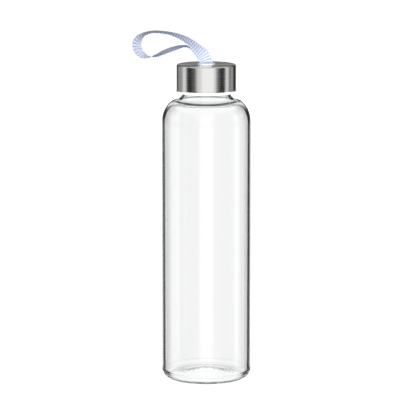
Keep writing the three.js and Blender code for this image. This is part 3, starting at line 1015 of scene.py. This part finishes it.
def studio_sky():
    world = bpy.data.worlds.new("studio")
    scene.world = world
    world.use_nodes = True
    tree = world.node_tree
    place = add(tree, "ShaderNodeTexCoord")
    split = add(tree, "ShaderNodeSeparateXYZ", {"Vector": place.outputs["Generated"]})

    def compass_share(front):
        angle = add(tree, "ShaderNodeMath", {0: split.outputs["X"], 1: front}, operation="ARCTAN2")
        turn = add(tree, "ShaderNodeMath", {0: angle.outputs[0], 1: 1 / (2 * math.pi), 2: 0.5},
                   operation="MULTIPLY_ADD")
        return turn.outputs[0]

    # for the glass, the half of the room in front is the same as the half behind
    front = add(tree, "ShaderNodeMath", {0: split.outputs["Y"], 1: -1.0}, operation="MULTIPLY").outputs[0]
    away = add(tree, "ShaderNodeMath", {0: front}, operation="ABSOLUTE").outputs[0]
    folded = add(tree, "ShaderNodeMath", {0: away, 1: -1.0}, operation="MULTIPLY").outputs[0]
    share, glass_share, height = compass_share(front), compass_share(folded), split.outputs["Z"]
    path = add(tree, "ShaderNodeLightPath")

    def more_than_half(value):
        return add(tree, "ShaderNodeMath", {0: value, 1: 0.5}, operation="GREATER_THAN").outputs[0]

    mirrored = more_than_half(path.outputs["Glossy Depth"])
    through = more_than_half(path.outputs["Transmission Depth"])
    shiny = add(tree, "ShaderNodeMath", {0: mirrored, 1: through}, operation="MAXIMUM").outputs[0]
    room = banded(tree, share, ROOM_CARDS)
    # the steel sees a dim wall above the window
    wall = banded(tree, share, [
        (start, end, DIM_BEHIND if abs(start + end) / 2 > BEHIND_FROM else light)
        for start, end, light in ROOM_CARDS
    ])
    for_steel = blend(tree, rise(tree, height, *WINDOW_TOP), room, wall)
    # the glass sees the cards cut across by dim level bands
    half_height = add(tree, "ShaderNodeMath", {0: height, 1: 0.5, 2: 0.5}, operation="MULTIPLY_ADD")
    window, inner_room = (banded(tree, glass_share, rows) for rows in (WINDOW_CARDS, ROOM_CARDS))
    cards = blend(tree, mirrored, window, inner_room)
    levels = blend(tree, mirrored, *(
        ramp(tree, half_height.outputs[0], [(0.5 + edge / 2, light) for low, high, light in rows
                                            for edge in (low, high)])
        for rows in (GLASS_LEVELS, INNER_LEVELS)
    ))
    cut = add(tree, "ShaderNodeMix", {0: 1.0, 6: cards, 7: levels}, data_type="RGBA", blend_type="MULTIPLY")
    # what went straight through both walls sees mostly a plain backdrop
    both_walls = add(tree, "ShaderNodeMath", {0: path.outputs["Transmission Depth"], 1: WALL_SURFACES - 0.5},
                     operation="GREATER_THAN").outputs[0]
    straight = add(tree, "ShaderNodeMath", {0: both_walls, 1: mirrored}, operation="SUBTRACT")
    clear = add(tree, "ShaderNodeMath", {0: straight.outputs[0], 1: CLEAR_SHARE}, operation="MULTIPLY",
                use_clamp=True)
    for_glass = blend(tree, clear.outputs[0], cut.outputs[2], sky_grey(BACKDROP))
    light = blend(tree, through, for_steel, for_glass)
    # steep up and steep down the room is bright again, for the steel later than for the glass
    light = blend(tree, rise(tree, height, *CEILING_FADE), light, sky_grey(SOFT_CEILING))
    table = blend(tree, through, rise(tree, height, *TABLE_FADE_STEEL), rise(tree, height, *TABLE_FADE_GLASS))
    light = blend(tree, table, light, sky_grey(LIT_TABLE))
    # matt pieces get an even, low light, and the eye a plain backdrop
    plain = blend(tree, path.outputs["Is Camera Ray"], sky_grey(EVEN_LIGHT), sky_grey(BACKDROP))
    light = blend(tree, shiny, plain, light)
    background = tree.nodes["Background"]
    tree.links.new(light, background.inputs["Color"])
    background.inputs["Strength"].default_value = SKY_STRENGTH


studio_sky()
print("room of", len(ROOM_CARDS), "cards")

# %% [markdown]
# ## Key light and fill light
#
# Two soft square lights model the ribbon and the plastic. The key stands low in front, a
# little to the right. It brightens what faces forward, such as the foot of the ribbon, and
# leaves the strands that lie flatter in half shade. The fill stands behind, so that the
# ribbon isn't dark from there. Both are hidden from the steel and the glass, which a
# renderer can do and a real lamp can't.

# %% Key light and fill light
KEY_WATTS = 74
FILL_WATTS = 34
LIGHT_SIZE = 0.6
KEY_PLACE = Vector((0.1, -1.6, 0.14))
FILL_PLACE = Vector((-0.3, 1.6, 0.3))


def soft_light(name, watts, place):
    """A square light aimed at the top of the cap, unseen by steel and glass."""
    data = bpy.data.lights.new(name, "AREA")
    data.energy = watts
    data.size = LIGHT_SIZE
    light = bpy.data.objects.new(name, data)
    scene.collection.objects.link(light)
    light.location = place
    light.rotation_euler = (Vector((0, 0, CAP_TOP_Z * MM)) - place).to_track_quat("-Z", "Y").to_euler()
    light.visible_glossy = False
    light.visible_transmission = False


soft_light("key", KEY_WATTS, KEY_PLACE)
soft_light("fill", FILL_WATTS, FILL_PLACE)
print("key light", KEY_WATTS, "W, fill light", FILL_WATTS, "W")

# %% [markdown]
# ## Floor
#
# The floor is a plain sheet that glows like opal acrylic lit from below, so the bottle
# casts only a faint shadow on it. Light that has met the steel or the glass passes through
# it to the sky's own bands below the horizon, and the pieces above feel less of its glow
# than the eye sees. Both are liberties that keep the floor plain and the ribbon unlit from
# below.

# %% Plain floor
FLOOR_R = 40
FLOOR_GLOW = 0.95
FLOOR_SHADE = 0.3
FLOOR_FELT = 0.3


def plain_floor():
    mesh = bpy.data.meshes.new("floor")
    maker = bmesh.new()
    bmesh.ops.create_circle(maker, cap_ends=True, radius=FLOOR_R, segments=128)
    maker.to_mesh(mesh)
    maker.free()
    floor = bpy.data.objects.new("floor", mesh)
    scene.collection.objects.link(floor)
    material = bpy.data.materials.new("floor_acrylic_opal")
    material.use_nodes = True
    tree = material.node_tree
    tree.nodes.remove(tree.nodes["Principled BSDF"])
    path = add(tree, "ShaderNodeLightPath")
    met = add(tree, "ShaderNodeMath", {0: path.outputs["Glossy Depth"], 1: path.outputs["Transmission Depth"]})
    passes = add(tree, "ShaderNodeMath", {0: met.outputs[0], 1: 0.5}, operation="GREATER_THAN")
    # the floor lights the pieces above it less than it shines to the eye
    glow_felt = add(tree, "ShaderNodeMapRange", {
        "Value": path.outputs["Is Diffuse Ray"], "To Min": FLOOR_GLOW, "To Max": FLOOR_FELT,
    })
    white = add(tree, "ShaderNodeBsdfDiffuse", {"Color": grey(FLOOR_SHADE)})
    glow = add(tree, "ShaderNodeEmission", {"Color": grey(1), "Strength": glow_felt.outputs["Result"]})
    lit = add(tree, "ShaderNodeAddShader", {0: white.outputs[0], 1: glow.outputs[0]})
    clear = add(tree, "ShaderNodeBsdfTransparent")
    seen = add(tree, "ShaderNodeMixShader", {0: passes.outputs[0], 1: lit.outputs[0], 2: clear.outputs[0]})
    tree.links.new(seen.outputs[0], tree.nodes["Material Output"].inputs["Surface"])
    mesh.materials.append(material)


plain_floor()
scene.view_settings.view_transform = "Standard"
# light runs along inside a glass wall, so it needs many turns before it comes out
scene.cycles.transmission_bounces = 32
scene.cycles.glossy_bounces = 32
scene.cycles.max_bounces = 40
print("floor", 2 * FLOOR_R, "m across")
